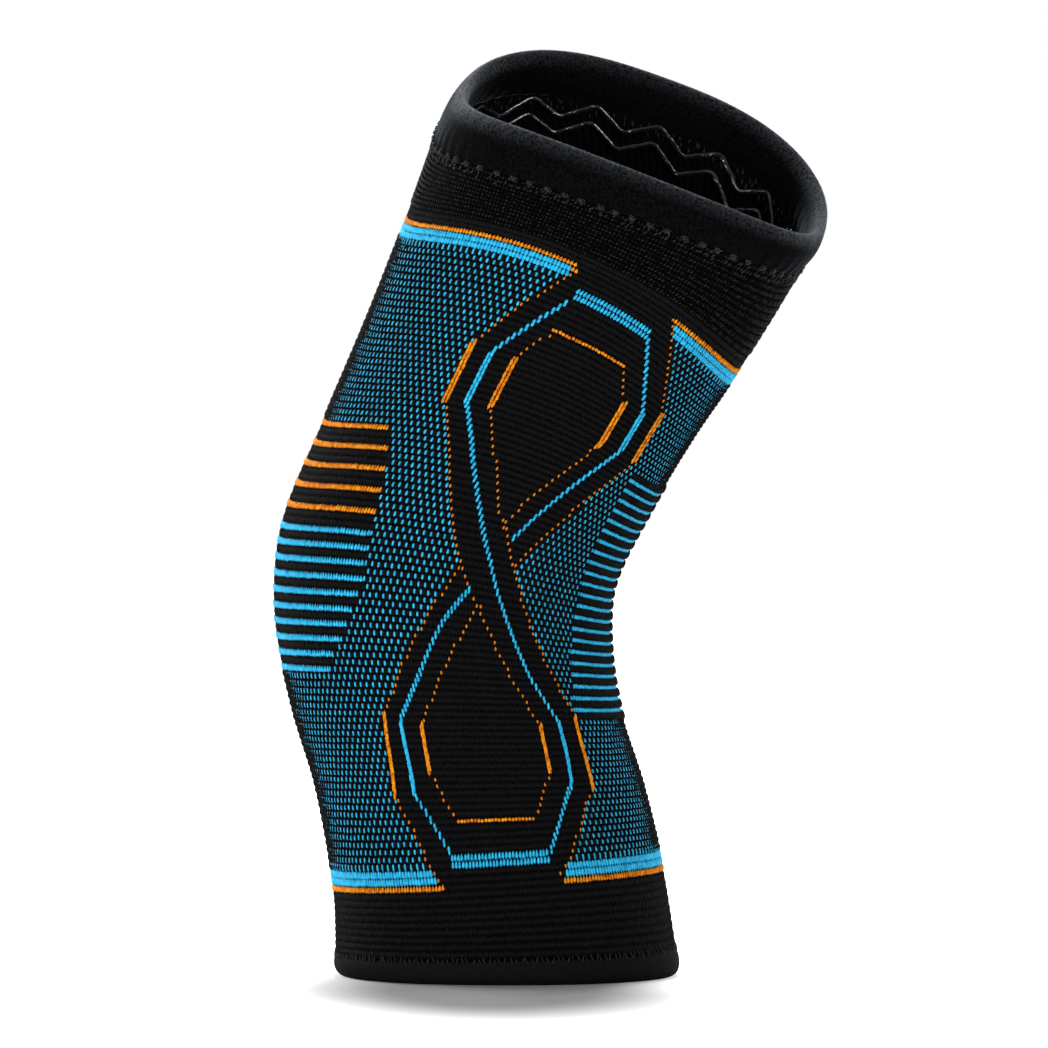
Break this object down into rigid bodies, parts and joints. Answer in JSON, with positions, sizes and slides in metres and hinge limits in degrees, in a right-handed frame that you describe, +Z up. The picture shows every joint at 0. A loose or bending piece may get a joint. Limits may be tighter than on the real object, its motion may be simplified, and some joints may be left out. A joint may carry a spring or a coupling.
{
  "type": "knee brace",
  "caption": "Tall half-bent knitted knee sleeve with a soft rolled top hem, a narrow bottom hem, a ribbed hollow behind the knee and wavy silicone grip lines inside its cuff.",
  "frame": {"origin": "on the floor, under the middle of the sleeve's outline seen from above", "axes": "+Z up from the bottom hem to the rim, +X towards the back of the knee, -X towards the kneecap, -Y and +Y the two sides"},
  "size_m": [0.1598, 0.1038, 0.2695],
  "materials": {
    "knit_black": "black elastic nylon knit",
    "knit_blue": "sky blue elastic yarn",
    "knit_orange": "orange elastic yarn",
    "brushed_hem": "brushed charcoal band",
    "silicone": "glossy silicone bead"
  },
  "bodies": {
    "root": {"knit_sleeve": "knit_black", "top_hem": "brushed_hem", "bottom_hem": "brushed_hem", "silicone_wave_upper": "silicone", "silicone_wave_lower": "silicone"}
  },
  "joints": []
}
